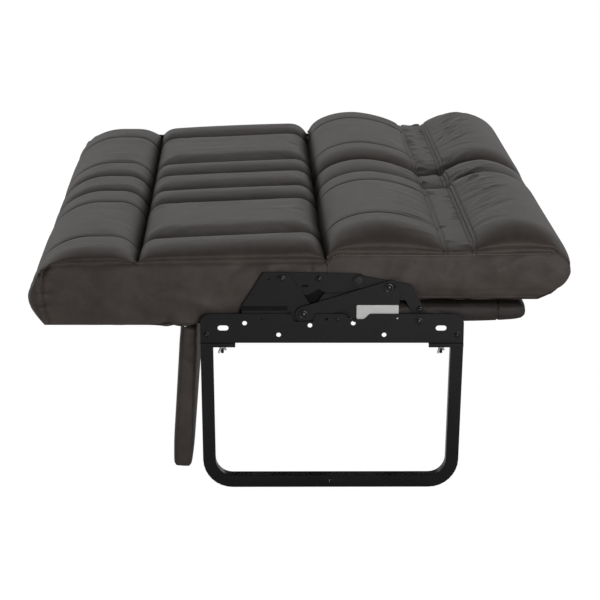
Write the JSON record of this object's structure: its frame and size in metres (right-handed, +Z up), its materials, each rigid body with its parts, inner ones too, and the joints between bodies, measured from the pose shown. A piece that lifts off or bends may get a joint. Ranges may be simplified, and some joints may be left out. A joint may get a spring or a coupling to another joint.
{
  "type": "jackknife sofa",
  "caption": "Jackknife sofa bed laid flat: padded seat and folding back on steel end linkages over U-shaped tube legs, with a padded front panel hung under the seat.",
  "frame": {"origin": "on the floor, under the middle of the flat bed", "axes": "+X along the sofa's width, +Y from the seat's front edge to the back's top edge, +Z up"},
  "size_m": [1.4662, 1.082, 0.5355],
  "materials": {
    "leatherette": "satin, fine grain",
    "black_steel": "satin powder coat",
    "zinc": "bright zinc plate",
    "timber": "raw",
    "spring_steel": "drawn wire",
    "dust_cloth": "non-woven"
  },
  "bodies": {
    "base": {"base_rail_right": "black_steel", "base_rail_left": "black_steel", "leg_frame_right": "black_steel", "leg_frame_left": "black_steel", "leg_tab_front_right": "black_steel", "leg_tab_rear_right": "black_steel", "leg_tab_front_left": "black_steel", "leg_tab_rear_left": "black_steel", "wing_nut_front_right": "zinc", "wing_nut_rear_right": "zinc", "wing_nut_front_left": "zinc", "wing_nut_rear_left": "zinc", "cross_rail_front": "black_steel", "cross_rail_rear": "black_steel", "support_bracket_right": "black_steel", "support_bracket_left": "black_steel", "seat_pivot_pin_right": "black_steel", "seat_pivot_pin_left": "black_steel", "link_pivot_pin_right": "black_steel", "link_pivot_pin_left": "black_steel", "bed_stop_pin_right": "black_steel", "bed_stop_pin_left": "black_steel"},
    "seat": {"seat_cushion": "leatherette", "seat_rail_front": "timber", "seat_rail_rear": "timber", "seat_rail_centre": "timber", "seat_rail_right": "timber", "seat_rail_left": "timber", "seat_spring_1": "spring_steel", "seat_spring_2": "spring_steel", "seat_dust_cover": "dust_cloth", "seat_bracket_right": "black_steel", "seat_bracket_left": "black_steel", "seat_bolt_right": "black_steel", "seat_bolt_left": "black_steel", "front_panel_hinge": "zinc"},
    "back": {"back_cushion": "leatherette", "back_board": "leatherette", "back_rail_lower": "timber", "back_rail_upper": "timber", "back_rail_right": "timber", "back_rail_left": "timber", "back_spring_1": "spring_steel", "back_spring_2": "spring_steel", "back_bracket_right": "black_steel", "back_bracket_left": "black_steel", "back_bolt_right": "black_steel", "back_bolt_left": "black_steel", "fold_pivot_pin_right": "black_steel", "fold_pivot_pin_left": "black_steel", "link_pin_right": "black_steel", "link_pin_left": "black_steel"},
    "control_link_right": {"control_link_right": "black_steel"},
    "control_link_left": {"control_link_left": "black_steel"},
    "front_panel": {"front_panel": "leatherette"}
  },
  "joints": [
    {"name": "seat_tilt", "type": "hinge", "parent": "base", "child": "seat", "pos_m": [0, -0.038, 0.434], "axis": [-1, 0, 0], "range_deg": [0, 4.91]},
    {"name": "back_fold", "type": "hinge", "parent": "seat", "child": "back", "pos_m": [0, 0.116, 0.431], "axis": [1, 0, 0], "range_deg": [0, 75]},
    {"name": "link_turn_right", "type": "hinge", "parent": "base", "child": "control_link_right", "pos_m": [0.7255, 0.005, 0.362], "axis": [1, 0, 0], "range_deg": [0, 18.7]},
    {"name": "link_turn_left", "type": "hinge", "parent": "base", "child": "control_link_left", "pos_m": [-0.7255, 0.005, 0.362], "axis": [1, 0, 0], "range_deg": [0, 18.7]},
    {"name": "front_panel_swing", "type": "hinge", "parent": "seat", "child": "front_panel", "pos_m": [0, -0.232, 0.332], "axis": [-1, 0, 0], "range_deg": [-5, 80]}
  ],
  "couplings": [
    {"joint": "seat_tilt", "follows": "back_fold", "ratio": 0.06542},
    {"joint": "link_turn_right", "follows": "back_fold", "ratio": 0.24905},
    {"joint": "link_turn_left", "follows": "back_fold", "ratio": 0.24905}
  ]
}
